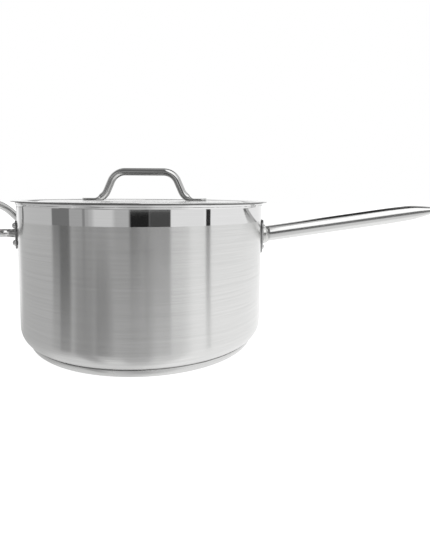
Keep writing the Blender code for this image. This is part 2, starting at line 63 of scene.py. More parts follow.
# Studio: a white room with a soft box in front, and grey and black cards that give polished steel its
# edges. The cards are parts of the sky, so they light and are reflected, but are never seen themselves.
def add_node(tree, kind, values=(), **settings):
    """One node in a tree. Settings go on the node itself. A value that is a socket is linked."""
    node = tree.nodes.new(kind)
    for name, value in settings.items():
        setattr(node, name, value)
    for name, value in dict(values).items():
        if isinstance(value, bpy.types.NodeSocket):
            tree.links.new(value, node.inputs[name])
        else:
            node.inputs[name].default_value = value
    return node


def maths(tree, operation, first, second=0.0, third=0.0):
    """The output of one Math node."""
    return add_node(tree, "ShaderNodeMath", {0: first, 1: second, 2: third}, operation=operation).outputs[0]


def smooth_between(tree, value, start, end):
    """0 at start, 1 at end, and a smooth step in between."""
    values = {"Value": value, "From Min": start, "From Max": end, "To Min": 0.0, "To Max": 1.0}
    return add_node(tree, "ShaderNodeMapRange", values, interpolation_type="SMOOTHSTEP").outputs["Result"]


def new_group(name, inputs, outputs):
    """An empty shader node group with named sockets, its input sockets and its output node."""
    group = bpy.data.node_groups.new(name, "ShaderNodeTree")
    for socket, (kind, value) in inputs.items():
        made = group.interface.new_socket(socket, in_out="INPUT", socket_type=kind)
        if value is not None:
            made.default_value = value
    for socket, kind in outputs.items():
        group.interface.new_socket(socket, in_out="OUTPUT", socket_type=kind)
    taken = group.nodes.new("NodeGroupInput").outputs
    return group, taken, group.nodes.new("NodeGroupOutput")


def light_card_group():
    """A card over the light behind it. Inside its span of azimuth and elevation the light turns to its
    level, and the two spans end in smooth steps as wide as Side Blur and Height Blur."""
    names = ("Azimuth", "Elevation", "Behind", "Middle", "Half Width", "Low", "High", "Level")
    inputs = {name: ("NodeSocketFloat", 0.0) for name in names}
    inputs["Side Blur"] = ("NodeSocketFloat", 1.0)
    inputs["Height Blur"] = ("NodeSocketFloat", 4.0)
    group, taken, given = new_group("light_card", inputs, {"Light": "NodeSocketFloat"})
    away = maths(group, "SUBTRACT", taken["Azimuth"], taken["Middle"])
    away = maths(group, "ABSOLUTE", maths(group, "WRAP", away, 180.0, -180.0))
    half_side = maths(group, "MULTIPLY", taken["Side Blur"], 0.5)
    half_height = maths(group, "MULTIPLY", taken["Height Blur"], 0.5)
    outer = maths(group, "ADD", taken["Half Width"], half_side)
    inner = maths(group, "SUBTRACT", taken["Half Width"], half_side)
    beside = smooth_between(group, away, outer, inner)
    low = [maths(group, way, taken["Low"], half_height) for way in ("SUBTRACT", "ADD")]
    high = [maths(group, way, taken["High"], half_height) for way in ("ADD", "SUBTRACT")]
    above = smooth_between(group, taken["Elevation"], *low)
    below = smooth_between(group, taken["Elevation"], *high)
    cover = maths(group, "MULTIPLY", beside, maths(group, "MULTIPLY", above, below))
    mixed = {"Factor": cover, "A": taken["Behind"], "B": taken["Level"]}
    group.links.new(add_node(group, "ShaderNodeMix", mixed).outputs["Result"], given.inputs["Light"])
    return group


# Each card: middle and half width in degrees from the front (positive towards the long handle), lowest
# and highest elevation, blur of its sides and of its ends, and level. A later card lies over earlier ones.
light_cards = {
    "deep_floor": (0.0, 400.0, -100.0, -24.0, 1.0, 16.0, 0.66),
    "deepest_floor": (0.0, 400.0, -100.0, -40.0, 1.0, 12.0, 0.90),
    "right_sweep": (118.0, 78.0, -100.0, 100.0, 45.0, 4.0, 1.07),
    "rear_backdrop": (180.0, 46.0, -14.0, 50.0, 14.0, 8.0, 1.05),
    "rear_dark": (180.0, 80.0, 48.0, 86.0, 20.0, 5.0, 0.20),
    "rear_right_dark": (132.0, 36.0, 12.0, 78.0, 6.0, 5.0, 0.03),
    "zenith": (0.0, 400.0, 84.0, 100.0, 1.0, 6.0, 0.60),
    "front_softbox": (39.0, 36.0, 22.0, 72.0, 4.0, 8.0, 1.60),
    "front_upper": (-28.5, 31.5, 10.0, 75.0, 4.0, 8.0, 0.18),
    "front_floor": (8.0, 24.0, -70.0, -12.0, 12.0, 10.0, 0.62),
    "front_floor_right": (30.0, 15.0, -95.0, -12.0, 12.0, 8.0, 0.85),
    "front_horizon": (19.0, 11.0, -15.0, 14.0, 4.0, 5.0, 0.35),
    "right_upper": (100.0, 50.0, 3.0, 50.0, 20.0, 8.0, 0.78),
    "right_floor": (110.0, 60.0, -80.0, -12.0, 20.0, 8.0, 1.17),
    "right_horizon": (46.0, 15.5, -7.0, 3.0, 2.0, 3.0, 1.00),
    "left_horizon": (-105.0, 28.0, -7.0, 3.0, 4.0, 3.0, 0.64),
    "front_shade": (-6.0, 54.0, 2.5, 14.0, 4.0, 2.0, 0.15),
    "left_flag": (-67.5, 9.5, -11.0, 60.0, 1.5, 9.0, 0.22),
    "left_flag_top": (-67.5, 9.5, 2.0, 60.0, 1.5, 3.0, 0.10),
    "flag_foot": (-62.0, 8.0, -17.0, -8.0, 2.0, 6.0, 0.02),
    "left_grey": (-49.0, 9.0, -60.0, 30.0, 2.0, 8.0, 0.48),
    "dark_floor_board": (-40.0, 14.0, -20.0, -8.0, 5.0, 8.0, 0.24),
    "dark_floor_near": (-27.0, 8.0, -21.0, -8.0, 4.0, 8.0, 0.02),
    "grey_floor_near": (-13.0, 9.0, -18.0, -8.0, 8.0, 8.0, 0.38),
    "upper_glow": (-29.0, 9.0, 12.0, 32.0, 4.0, 6.0, 0.62),
    "horizon_glow": (-27.0, 9.0, -7.0, 2.0, 5.0, 3.0, 0.78),
    "thin_left_line": (-44.5, 1.2, -8.0, 8.0, 1.5, 4.0, 0.30),
    "lens_opening": (4.0, 8.5, -9.0, 9.0, 3.0, 3.0, 0.02),
    "lens_side": (21.5, 9.0, -8.0, 4.0, 1.5, 3.0, 0.085),
    "lens_head": (12.0, 19.0, -2.2, 0.5, 3.0, 0.3, 0.62),
    "right_flag": (66.1, 2.3, -11.0, 34.0, 0.8, 8.0, 0.04),
}
world = bpy.data.worlds.new("studio")
world.use_nodes = True
bpy.context.scene.world = world
sky = world.node_tree
sky.nodes.clear()
towards = add_node(sky, "ShaderNodeTexCoord").outputs["Generated"]
towards = add_node(sky, "ShaderNodeSeparateXYZ", {"Vector": towards}).outputs
azimuth = maths(sky, "ARCTAN2", towards["X"], maths(sky, "MULTIPLY", towards["Y"], -1.0))
azimuth = maths(sky, "DEGREES", azimuth)
elevation = maths(sky, "DEGREES", maths(sky, "ARCSINE", towards["Z"]))
room_light, backdrop_white = 0.565, 1.0
light = room_light
card_group = light_card_group()
for card, (middle, half_width, low, high, side_blur, height_blur, level) in light_cards.items():
    placed = {"Azimuth": azimuth, "Elevation": elevation, "Behind": light, "Middle": middle,
              "Half Width": half_width, "Low": low, "High": high, "Level": level,
              "Side Blur": side_blur, "Height Blur": height_blur}
    light = add_node(sky, "ShaderNodeGroup", placed, node_tree=card_group, label=card).outputs["Light"]
seen = add_node(sky, "ShaderNodeLightPath").outputs["Is Camera Ray"]
shown = {"Factor": seen, "A": light, "B": backdrop_white}
strength = add_node(sky, "ShaderNodeMix", shown).outputs["Result"]
backdrop = add_node(sky, "ShaderNodeBackground", {"Color": (1.0, 1.0, 1.0, 1.0), "Strength": strength})
sky.links.new(backdrop.outputs[0], add_node(sky, "ShaderNodeOutputWorld").inputs["Surface"])


# Floor: a plain white table top that glows a little, so that only a breath of shadow is left under
# the base. Steel doesn't reflect it; the lower half of the sky stands for it there.
floor_material = bpy.data.materials.new("white_table")
floor_material.use_nodes = True
floor_shader = floor_material.node_tree.nodes["Principled BSDF"]
floor_shader.inputs["Base Color"].default_value = (0.55, 0.55, 0.55, 1.0)
floor_shader.inputs["Roughness"].default_value = 0.9
floor_shader.inputs["Specular IOR Level"].default_value = 0.0
floor_shader.inputs["Emission Color"].default_value = (1.0, 1.0, 1.0, 1.0)
floor_shader.inputs["Emission Strength"].default_value = 0.88
floor_reach, floor_height = 6.0, -0.0004
floor_turns = ((-1, -1), (1, -1), (1, 1), (-1, 1))
floor_corners = [(x * floor_reach, y * floor_reach, floor_height) for x, y in floor_turns]
floor_mesh = bpy.data.meshes.new("floor")
floor_mesh.from_pydata(floor_corners, [], [(0, 1, 2, 3)])
floor_mesh.materials.append(floor_material)
floor = bpy.data.objects.new("floor", floor_mesh)
bpy.context.scene.collection.objects.link(floor)
floor.visible_glossy = False


# Pot: a straight-sided shell drawn and spun from 1 mm stainless sheet, with a flared pouring lip and a
# wide round corner at the bottom. The outside is brushed in fine rings and buffed bright under the lip.
def rounded_line(corners, steps=8):
    """A line through corners (r, z, rounding). An arc tangent to both sides takes each corner's place:
    start + R (sin t * into + (1 - cos t) * side), for t from 0 to the turn, with a point beside each end."""
    roundings = [c[2] if len(c) > 2 else 0.0 for c in corners]
    corners = [np.array(c[:2], float) for c in corners]
    line = [corners[0][None]]
    for before, here, after, radius in zip(corners, corners[1:], corners[2:], roundings[1:]):
        into = (here - before) / np.linalg.norm(here - before)
        out = (after - here) / np.linalg.norm(after - here)
        turn = math.atan2(into[0] * out[1] - into[1] * out[0], into @ out)
        if radius == 0.0:
            line.append(here[None])
            continue
        reach = radius * math.tan(abs(turn) / 2)
        side = np.array([-into[1], into[0]]) * math.copysign(1.0, turn)
        t = np.linspace(0.0, abs(turn), steps + 1)[:, None]
        arc = here - into * reach + radius * (np.sin(t) * into + (1 - np.cos(t)) * side)
        beside = min(0.0004, radius / 4)
        line += [arc[:1] - into * beside, arc, arc[-1:] + out * beside]
    line.append(corners[-1][None])
    return np.concatenate(line)


def turned(line, turns=240):
    """A line (r, z) turned about the pot's axis: (r cos a, r sin a, z) for each point and each angle a."""
    angle = 2 * np.pi * np.arange(turns) / turns
    r, z = line[:, :1], line[:, 1:]
    return np.stack([r * np.cos(angle), r * np.sin(angle), z + 0 * angle], -1)


def lay_skin(name, grid, body, finishes, finish_of_row=None, uv=None, loop=False):
    """The mesh of a grid of points. Row i is a ring, and each face joins (i, j), (i+1, j), (i+1, j+1) and
    (i, j+1), where the last column meets the first. The end rings are drawn to one point each, or in a loop
    the last ring meets the first. The UV map holds metres around the ring and metres along the rows."""
    rows, columns = grid.shape[:2]
    if uv is None:
        along = np.linalg.norm(np.diff(grid, axis=0, append=grid[:1]), axis=2).mean(1)
        around = np.linalg.norm(grid - np.roll(grid, 1, axis=1), axis=2).sum(1).max()
        v = np.concatenate([[0.0], np.cumsum(along)])
        uv = np.stack(np.broadcast_arrays(np.linspace(0.0, around, columns + 1), v[:, None]), -1)
    if loop:
        points = grid.reshape(-1, 3)
        index = np.arange(rows * columns).reshape(rows, columns)
        index = np.concatenate([index, index[:1]])
    else:
        points = np.concatenate([grid[:1].mean(1), grid[1:-1].reshape(-1, 3), grid[-1:].mean(1)])
        index = 1 + np.arange((rows - 2) * columns).reshape(-1, columns)
        index = np.concatenate([np.zeros_like(index[:1]), index, np.full_like(index[:1], len(points) - 1)])
    index = np.concatenate([index, index[:, :1]], 1)
    uv = uv[:len(index)]
    corners = np.stack([index[:-1, :-1], index[1:, :-1], index[1:, 1:], index[:-1, 1:]], -1)
    corner_uv = np.stack([uv[:-1, :-1], uv[1:, :-1], uv[1:, 1:], uv[:-1, 1:]], 2)
    keep = [[0, 1, 2, 3]] * (len(index) - 1)
    if not loop:
        keep[0], keep[-1] = [0, 1, 2], [0, 1, 3]
    faces = [face for row, kept in zip(corners, keep) for face in row[:, kept].tolist()]
    mesh = bpy.data.meshes.new(name)
    mesh.from_pydata(points.tolist(), [], faces)
    layer = mesh.uv_layers.new(name="skin")
    laid = np.concatenate([row[:, kept].reshape(-1, 2) for row, kept in zip(corner_uv, keep)])
    layer.data.foreach_set("uv", laid.astype(np.float32).ravel())
    for finish in finishes:
        mesh.materials.append(finish)
    if finish_of_row is not None:
        finish_of_face = np.repeat(finish_of_row[:len(keep)], columns).astype(np.int32)
        mesh.polygons.foreach_set("material_index", finish_of_face)
    mesh.shade_smooth()
    mesh.update()
    piece = bpy.data.objects.new(name, mesh)
    bpy.context.scene.collection.objects.link(piece)
    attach(piece, body)
    return piece


def brush_lines_group():
    """Fine lines left by a brush: noise stretched along the vector's X and tight across its Y and Z."""
    inputs = {"Vector": ("NodeSocketVector", None), "Along": ("NodeSocketFloat", 12.0),
              "Across": ("NodeSocketFloat", 900.0)}
    outputs = {"Lines": "NodeSocketFloat", "Broad": "NodeSocketFloat"}
    group, taken, given = new_group("brush_lines", inputs, outputs)
    part = add_node(group, "ShaderNodeSeparateXYZ", {"Vector": taken["Vector"]}).outputs
    scaled = {axis: maths(group, "MULTIPLY", part[axis], taken[scale])
              for axis, scale in (("X", "Along"), ("Y", "Across"), ("Z", "Across"))}
    stretched = add_node(group, "ShaderNodeCombineXYZ", scaled).outputs[0]
    fine = {"Vector": stretched, "Scale": 1.0, "Detail": 3.0, "Roughness": 0.65}
    broad = {"Vector": stretched, "Scale": 0.17, "Detail": 2.0, "Roughness": 0.5}
    group.links.new(add_node(group, "ShaderNodeTexNoise", fine).outputs["Fac"], given.inputs["Lines"])
    group.links.new(add_node(group, "ShaderNodeTexNoise", broad).outputs["Fac"], given.inputs["Broad"])
    return group


def turned_place_group():
    """Where a point lies on turned work: X is a slow drift round the axis, and Y is radius plus height,
    which grows steadily along the line that was turned, up a wall and across a flat alike."""
    inputs, outputs = {"Vector": ("NodeSocketVector", None)}, {"Place": "NodeSocketVector"}
    group, taken, given = new_group("turned_place", inputs, outputs)
    part = add_node(group, "ShaderNodeSeparateXYZ", {"Vector": taken["Vector"]}).outputs
    square = maths(group, "MULTIPLY", part["X"], part["X"])
    radius = maths(group, "SQRT", maths(group, "MULTIPLY_ADD", part["Y"], part["Y"], square))
    ring = maths(group, "ADD", radius, part["Z"])
    slow = maths(group, "MULTIPLY_ADD", part["Y"], 0.6, part["X"])
    place = {"X": slow, "Y": ring, "Z": maths(group, "MULTIPLY", slow, 0.004)}
    group.links.new(add_node(group, "ShaderNodeCombineXYZ", place).outputs[0], given.inputs["Place"])
    return group


def handling_haze_group():
    """The dull cloudy patches of washed and handled steel, from 0 clear to 1 hazy, and a soft ripple."""
    inputs = {"Vector": ("NodeSocketVector", None), "Size": ("NodeSocketFloat", 22.0)}
    outputs = {"Haze": "NodeSocketFloat", "Ripple": "NodeSocketFloat"}
    group, taken, given = new_group("handling_haze", inputs, outputs)
    clouds = {"Vector": taken["Vector"], "Scale": taken["Size"], "Detail": 4.0, "Roughness": 0.55,
              "Distortion": 0.6}
    cloud = add_node(group, "ShaderNodeTexNoise", clouds).outputs["Fac"]
    group.links.new(smooth_between(group, cloud, 0.42, 0.72), given.inputs["Haze"])
    wave = {"Vector": taken["Vector"], "Scale": maths(group, "MULTIPLY", taken["Size"], 1.4), "Detail": 1.0}
    group.links.new(add_node(group, "ShaderNodeTexNoise", wave).outputs["Fac"], given.inputs["Ripple"])
    return group


brush_lines, turned_place, handling_haze = brush_lines_group(), turned_place_group(), handling_haze_group()


def steel(name, colour, roughness, stretch=0.0, turn=0.25, spun=True, along=12.0, across=900.0,
          contrast=0.06, rough_spread=0.06, ripple=0.0, haze=0.04):
    """A steel finish. The brush lines shade the colour and roughness by a little, haze dulls it in patches,
    ripple bends broad reflections, and the highlight is stretched across the brushing."""
    material = bpy.data.materials.new(name)
    material.use_nodes = True
    tree = material.node_tree
    shader = tree.nodes["Principled BSDF"]
    shader.inputs["Metallic"].default_value = 1.0
    shader.inputs["Anisotropic"].default_value = stretch
    shader.inputs["Anisotropic Rotation"].default_value = turn
    own = add_node(tree, "ShaderNodeTexCoord").outputs
    tangent = add_node(tree, "ShaderNodeTangent", direction_type="UV_MAP", uv_map="skin")
    tree.links.new(tangent.outputs["Tangent"], shader.inputs["Tangent"])
    if spun:
        spun_place = add_node(tree, "ShaderNodeGroup", {"Vector": own["Object"]}, node_tree=turned_place)
        place = spun_place.outputs[0]
    else:
        laid = add_node(tree, "ShaderNodeSeparateXYZ", {"Vector": own["UV"]}).outputs
        place = add_node(tree, "ShaderNodeCombineXYZ", {"X": laid["Y"], "Y": laid["X"]}).outputs[0]
    brushed = {"Vector": place, "Along": along, "Across": across}
    lines = add_node(tree, "ShaderNodeGroup", brushed, node_tree=brush_lines).outputs
    hazy = add_node(tree, "ShaderNodeGroup", {"Vector": own["Object"]}, node_tree=handling_haze).outputs
    fine_share = 0.75
    shade = maths(tree, "ADD", maths(tree, "MULTIPLY", lines["Lines"], fine_share),
                  maths(tree, "MULTIPLY", lines["Broad"], 1 - fine_share))
    shade = smooth_between(tree, shade, 0.3, 0.7)
    darker = tuple(c * (1 - contrast) for c in colour) + (1.0,)
    lighter = tuple(min(c * (1 + contrast), 1.0) for c in colour) + (1.0,)
    tinted = add_node(tree, "ShaderNodeMix", data_type="RGBA")
    tree.links.new(shade, tinted.inputs[0])
    tinted.inputs[6].default_value, tinted.inputs[7].default_value = darker, lighter
    tree.links.new(tinted.outputs[2], shader.inputs["Base Color"])
    rough = maths(tree, "MULTIPLY_ADD", shade, -rough_spread, roughness + rough_spread / 2)
    rough = maths(tree, "MULTIPLY_ADD", hazy["Haze"], haze, rough)
    tree.links.new(rough, shader.inputs["Roughness"])
    if ripple:
        bump = {"Height": hazy["Ripple"], "Strength": 1.0, "Distance": ripple}
        tree.links.new(add_node(tree, "ShaderNodeBump", bump).outputs["Normal"], shader.inputs["Normal"])
    return material


rim_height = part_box("pot_body")[1].z
lip_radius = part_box("pot_body")[1].x
sheet, flare = 0.0010, 0.0013
wall_radius = lip_radius - flare
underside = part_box("pot_body")[0].z
band_low = rim_height - 0.0167
lip_foot, lip_knee = rim_height - 0.0031, rim_height - 0.0016
knee_radius = wall_radius + 0.0009
corner_rounding, edge_rounding = 0.0170, 0.00048
pot_line = rounded_line([
    (0.0, underside + sheet),
    (wall_radius - sheet, underside + sheet, corner_rounding - sheet),
    (wall_radius - sheet, lip_foot, 0.0022),
    (knee_radius - sheet, lip_knee, 0.0028),
    (lip_radius - sheet, rim_height, edge_rounding),
    (lip_radius, rim_height, edge_rounding),
    (knee_radius, lip_knee, 0.0022),
    (wall_radius, lip_foot, 0.0026),
    (wall_radius, band_low),
    (wall_radius, underside, corner_rounding),
    (0.0, underside),
], steps=14)
pot_satin = steel("pot_brushed_steel", (0.66, 0.66, 0.655), 0.20, stretch=1.0, across=1900.0, contrast=0.05,
                  rough_spread=0.02, haze=0.02)
pot_bright = steel("pot_buffed_steel", (0.69, 0.69, 0.69), 0.035, contrast=0.02, rough_spread=0.015,
                   ripple=0.00001, haze=0.01)
pot_inside = steel("pot_inside_steel", (0.62, 0.62, 0.615), 0.26, stretch=0.85, across=600.0, contrast=0.07)
is_outer = np.arange(len(pot_line)) >= np.argmax(pot_line[:, 0])
pot_finish = np.where(is_outer, np.where(pot_line[:, 1] > band_low + 1e-6, 1, 0), 2)
pot_finish[pot_line[:, 1] > lip_knee] = 1
pot = lay_skin("pot_shell", turned(pot_line), "pot", [pot_satin, pot_bright, pot_inside],
               pot_finish)
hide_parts("pot_body")


# Aluminium core: a disc pressed between the pot and the cap to spread the heat. Only its edge shows, deep
# in the groove, so it stays as the imported solid, with its colour painted near black as shade, as little
# light gets in.
core_metal = bpy.data.materials.new("core_aluminium_painted_shade")
core_metal.use_nodes = True
core_tree = core_metal.node_tree
core_shader = core_tree.nodes["Principled BSDF"]
core_shader.inputs["Metallic"].default_value = 1.0
core_own = add_node(core_tree, "ShaderNodeTexCoord").outputs["Object"]
core_place = add_node(core_tree, "ShaderNodeGroup", {"Vector": core_own}, node_tree=turned_place)
core_brushed = {"Vector": core_place.outputs[0], "Across": 1400.0}
core_lines = add_node(core_tree, "ShaderNodeGroup", core_brushed, node_tree=brush_lines)
# Painted shade: the base colour runs only from 0.035 to 0.075, near black, standing for the shade in the
# groove.
core_shade = add_node(core_tree, "ShaderNodeMix", {0: core_lines.outputs["Lines"]}, data_type="RGBA")
core_shade.inputs[6].default_value = (0.035, 0.036, 0.038, 1.0)
core_shade.inputs[7].default_value = (0.07, 0.072, 0.075, 1.0)
core_tree.links.new(core_shade.outputs[2], core_shader.inputs["Base Color"])
core_rough = maths(core_tree, "MULTIPLY_ADD", core_lines.outputs["Broad"], 0.2, 0.4)
core_tree.links.new(core_rough, core_shader.inputs["Roughness"])
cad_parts["base_core_disc"].data.materials.clear()
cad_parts["base_core_disc"].data.materials.append(core_metal)


# Base cap: a shallow steel dish pressed over the core under the pot. Its side is a quarter ellipse that
# ends in a thin rolled edge below the groove; the underside is turned flat, with two shallow grooves.
cap_rim_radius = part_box("base_cap")[1].x
cap_rim_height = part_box("base_cap")[1].z
cap_rounding, cap_sheet = 0.0115, 0.0008
lap = np.linspace(0.0, np.pi / 2, 20)
cap_flat_radius, seam_height = cap_rim_radius - cap_rounding, cap_rim_height - cap_sheet / 2
cap_outer = np.stack([cap_flat_radius + cap_rounding * np.cos(lap), cap_rim_height * (1 - np.sin(lap))], -1)
cap_inner = np.stack([cap_flat_radius + (cap_rounding - cap_sheet) * np.cos(lap),
                      cap_rim_height - (cap_rim_height - cap_sheet) * np.sin(lap)], -1)[::-1]
edge = np.linspace(0.0, np.pi, 9)[1:-1, None]
edge_middle = np.array([cap_rim_radius - cap_sheet / 2, seam_height])
cap_edge = edge_middle + cap_sheet / 2 * np.concatenate([-np.cos(edge), np.sin(edge)], 1)
for side in (cap_outer, cap_inner):
    side[:, 1] = np.minimum(side[:, 1], seam_height)
groove_radii, groove_half, groove_depth = (0.0850, 0.0450), 0.0008, 0.0004
cap_flat = [(cap_flat_radius - 0.0005, 0.0)]
for groove in groove_radii:
    cap_flat += [(groove + groove_half, 0.0, 0.0006), (groove, groove_depth, 0.0005),
                 (groove - groove_half, 0.0, 0.0006)]
cap_base = rounded_line(cap_flat + [(0.0, 0.0)], steps=3)
cap_line = np.concatenate([[[0.0, cap_sheet]], cap_inner, cap_edge, cap_outer, cap_base])
cap_steel = steel("base_cap_steel", (0.60, 0.60, 0.595), 0.24, stretch=0.6, across=700.0, contrast=0.08,
                  haze=0.10)
cap = lay_skin("base_cap_shell", turned(cap_line), "pot", [cap_steel])
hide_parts("base_cap")


# Handle plate: a shield of 2 mm steel, pressed to the curve of the wall. Its outline runs round three
# rivet places, two beside the handle and one below it, and its outer edge is softly rounded.
def on_wall(azimuth, along, height, out):
    """Points at a distance out from the pot's axis, a distance along the wall's tangent, and a height."""
    depth = np.sqrt(np.maximum(out ** 2 - along ** 2, 0.0))
    c, s = math.cos(azimuth), math.sin(azimuth)
    return np.stack(np.broadcast_arrays(depth * c - along * s, depth * s + along * c, height), -1)


def plate_outline(circles, columns=168):
    """The line round a set of circles (x, y, radius): the farthest point of them all in each direction, at
    even steps of its length. It gives the points and their outward directions."""
    angle = np.linspace(0.0, 2 * np.pi, 2881)
    way = np.stack([np.cos(angle), np.sin(angle)], -1)
    middle, radius = np.array(circles)[:, :2], np.array(circles)[:, 2]
    farthest = np.argmax(way @ middle.T + radius, axis=1)
    line = middle[farthest] + way * radius[farthest, None]
    length = np.concatenate([[0.0], np.cumsum(np.linalg.norm(np.diff(line, axis=0), axis=1))])
    even = np.linspace(0.0, length[-1], columns, endpoint=False)
    points = np.stack([np.interp(even, length, line[:, k]) for k in (0, 1)], -1)
    turn = np.interp(even, length, angle)
    return points, np.stack([np.cos(turn), np.sin(turn)], -1)


def pressed_plate(circles, azimuth, thickness, rounding):
    """A plate's skin from the middle of its face, out over its rounded edge, to the middle of its back.
    A row is the outline drawn in by an inset, shrunk towards the middle, and lifted off the wall."""
    outline, way = plate_outline(circles)
    middle = outline.mean(0)
    face_rows, back_inset = 14, 0.0003
    arc = np.linspace(0.0, np.pi / 2, 7)
    outwards = np.linspace(0.0, 1.0, face_rows)
    share = np.concatenate([outwards, np.ones(len(arc) + 3), outwards[::-1]])
    share[face_rows - 1] = 0.985
    inset = np.concatenate([
        np.full(face_rows - 1, rounding), [rounding * 1.02], rounding * (1 - np.sin(arc)),
        [0.0, 0.0, 0.0002], np.full(face_rows, back_inset)])
    lift = np.concatenate([
        np.full(face_rows, thickness), thickness - rounding * (1 - np.cos(arc)),
        [thickness / 3, 0.0003, 0.0], np.zeros(face_rows)])
    flat = middle + share[:, None, None] * (outline - inset[:, None, None] * way - middle)
    grid = on_wall(azimuth, flat[..., 0], flat[..., 1], wall_radius + fit_gap + lift[:, None])
    return grid, np.concatenate([flat, flat[:, :1]], 1)


fit_gap = 0.0003
plate_low, plate_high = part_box("main_handle_plate")
plate_thickness = plate_high.x - wall_radius - fit_gap
shoulder_radius, toe_radius, shoulder_spread = 0.0074, 0.0063, 0.0140
side_rivet = (shoulder_spread, plate_high.z - shoulder_radius)
low_rivet = (0.0, plate_low.z + toe_radius)
shield_circles = [(x, side_rivet[1], shoulder_radius) for x in (shoulder_spread, -shoulder_spread)]
shield_circles.append((*low_rivet, toe_radius))
shield_grid, shield_uv = pressed_plate(shield_circles, 0.0, plate_thickness, 0.0008)
plate_steel = steel("plate_brushed_steel", (0.67, 0.67, 0.665), 0.20, stretch=0.6, turn=0.0, spun=False,
                    along=40.0, across=1200.0, contrast=0.06, haze=0.06)
# Painted shade: the edges get a dark steel (colour 0.28), partly the duller cut face of a sheared edge, and
# mostly a stand-in for the shadow along plate edges and under the lid's flange.
shaded_edge_steel = steel("sheared_edge_painted_shade_steel", (0.28, 0.28, 0.28), 0.36, spun=False, along=300.0, across=900.0,
                      contrast=0.15, haze=0.05)
plate_rows, shaded_edge_rows = np.arange(len(shield_grid)), (17, 23)
plate_finish = np.where((plate_rows >= shaded_edge_rows[0]) & (plate_rows <= shaded_edge_rows[1]), 1, 0)
shield = lay_skin("handle_shield", shield_grid, "pot", [plate_steel, shaded_edge_steel],
                  plate_finish, shield_uv)
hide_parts("main_handle_plate")


# Weld collar: the ring of weld that holds the tube to its plate, ground smooth. Its foot follows the
# curve of the plate, and its top is rounded in to the tube.
rise = math.radians(8.55)
tube_along = np.array([math.cos(rise), 0.0, math.sin(rise)])
tube_up = np.array([-math.sin(rise), 0.0, math.cos(rise)])
tube_across = np.array([0.0, -1.0, 0.0])
tube_root = np.array([wall_radius, 0.0, rim_height - 0.0327])
tube_radius = 0.0080


def ring_foot(radius, angle, face):
    """How far along the tube's axis a ring of some radius meets the round face of a plate."""
    beside = radius * np.cos(angle)
    lift = radius * np.sin(angle)
    return (np.sqrt(face ** 2 - beside ** 2) - wall_radius + lift * tube_along[2]) / tube_along[0]


turn = 2 * np.pi * np.arange(96) / 96
face = wall_radius + fit_gap + plate_thickness
bore, weld, weld_length = tube_radius + 0.0002, 0.00145, 0.0045
crown = np.linspace(0.0, np.pi / 2, 12)[:, None]
ring_radius = np.concatenate([[[bore]], bore + weld * np.sin(crown) ** 0.8, [[bore + weld], [bore]]])
ring_share = np.concatenate([[[0.97]], np.cos(crown) ** 0.7, [[0.0], [0.0]]])
ring_share[12] = 0.25
foot = ring_foot(ring_radius, turn[None, :], face + 0.0001)
reach = foot + ring_share * (face - wall_radius + weld_length - foot)
ring_x, ring_y = ring_radius * np.cos(turn), ring_radius * np.sin(turn)
collar_grid = (tube_root + reach[..., None] * tube_along + ring_x[..., None] * tube_across
               + ring_y[..., None] * tube_up)
weld_steel = steel("weld_ground_steel", (0.64, 0.64, 0.63), 0.24, contrast=0.10, spun=False, along=500.0,
                   across=700.0, haze=0.08, ripple=0.00003)
collar = lay_skin("handle_weld_collar", collar_grid[::-1], "pot", [weld_steel], loop=True)
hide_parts("main_handle_collar")


# Long handle: a hollow steel tube, round along the grip. Its end is pressed flat into a tongue as wide as
# the tube's own wall allows, rounded at the tip and pierced for hanging.
def pressed_width(diameter, thickness):
    """A round tube pressed flat keeps its perimeter: width = thickness + pi (diameter - thickness) / 2."""
    return thickness + np.pi * (diameter - thickness) / 2


def oval_rings(centre, across, up, half_width, half_height, power, columns=72):
    """Rings on a superellipse, for each angle: centre + across w sgn(cos) |cos|^(2/p) + up h sgn(sin)
    |sin|^(2/p), where w and h are the half width and half height, and p is the power."""
    angle = 2 * np.pi * np.arange(columns) / columns
    c, s = np.cos(angle), np.sin(angle)
    x = np.sign(c) * np.abs(c) ** (2 / power[:, None]) * half_width[:, None]
    y = np.sign(s) * np.abs(s) ** (2 / power[:, None]) * half_height[:, None]
    return centre[:, None] + x[..., None] * across + y[..., None] * up


grip_start, grip_end, reach_end, tongue, tongue_thickness = 0.0100, 0.1250, 0.2070, 0.0200, 0.0036
tongue_start = reach_end - tongue
tip_half = pressed_width(2 * tube_radius, tongue_thickness) / 2
tip_angle = np.linspace(0.0, np.pi / 2, 20)[1:]
along_tube = np.concatenate([
    np.linspace(grip_start, grip_end, 40), np.linspace(grip_end, tongue_start, 50)[1:],
    [reach_end - tip_half], reach_end - tip_half * (1 - np.sin(tip_angle))])
press = np.clip((along_tube - grip_end) / (tongue_start - grip_end), 0.0, 1.0)
gentle = 0.45
late = np.clip((press - gentle) / (1 - gentle), 0.0, 1.0)
drop = gentle * press ** 2 + (1 - gentle) * late * late * (3 - 2 * late)
thickness = 2 * tube_radius - (2 * tube_radius - tongue_thickness) * drop
half_width = pressed_width(2 * tube_radius, thickness) / 2
half_width[-len(tip_angle):] *= np.cos(tip_angle)
half_height = thickness / 2 * np.sqrt(1 - (1 - np.clip(half_width / (tongue_thickness / 2), 0.0, 1.0)) ** 2)
power = 2.0 + 1.5 * (1 - thickness / (2 * tube_radius))
power[-len(tip_angle):] = 3.3 - 1.3 * (1 - np.cos(tip_angle))
centre = tube_root + along_tube[:, None] * tube_along
tube_grid = oval_rings(centre, tube_across, tube_up, half_width, half_height, power)
root_angle = 2 * np.pi * np.arange(72) / 72
root_foot = ring_foot(tube_radius, root_angle, face - 0.0003)[:, None]
root_ring = (tube_root + root_foot * tube_along + tube_radius * np.cos(root_angle)[:, None] * tube_across
             + tube_radius * np.sin(root_angle)[:, None] * tube_up)
root_cap = np.broadcast_to(root_ring.mean(0), root_ring.shape)
tube_grid = np.concatenate([root_cap[None], root_ring[None], tube_grid])
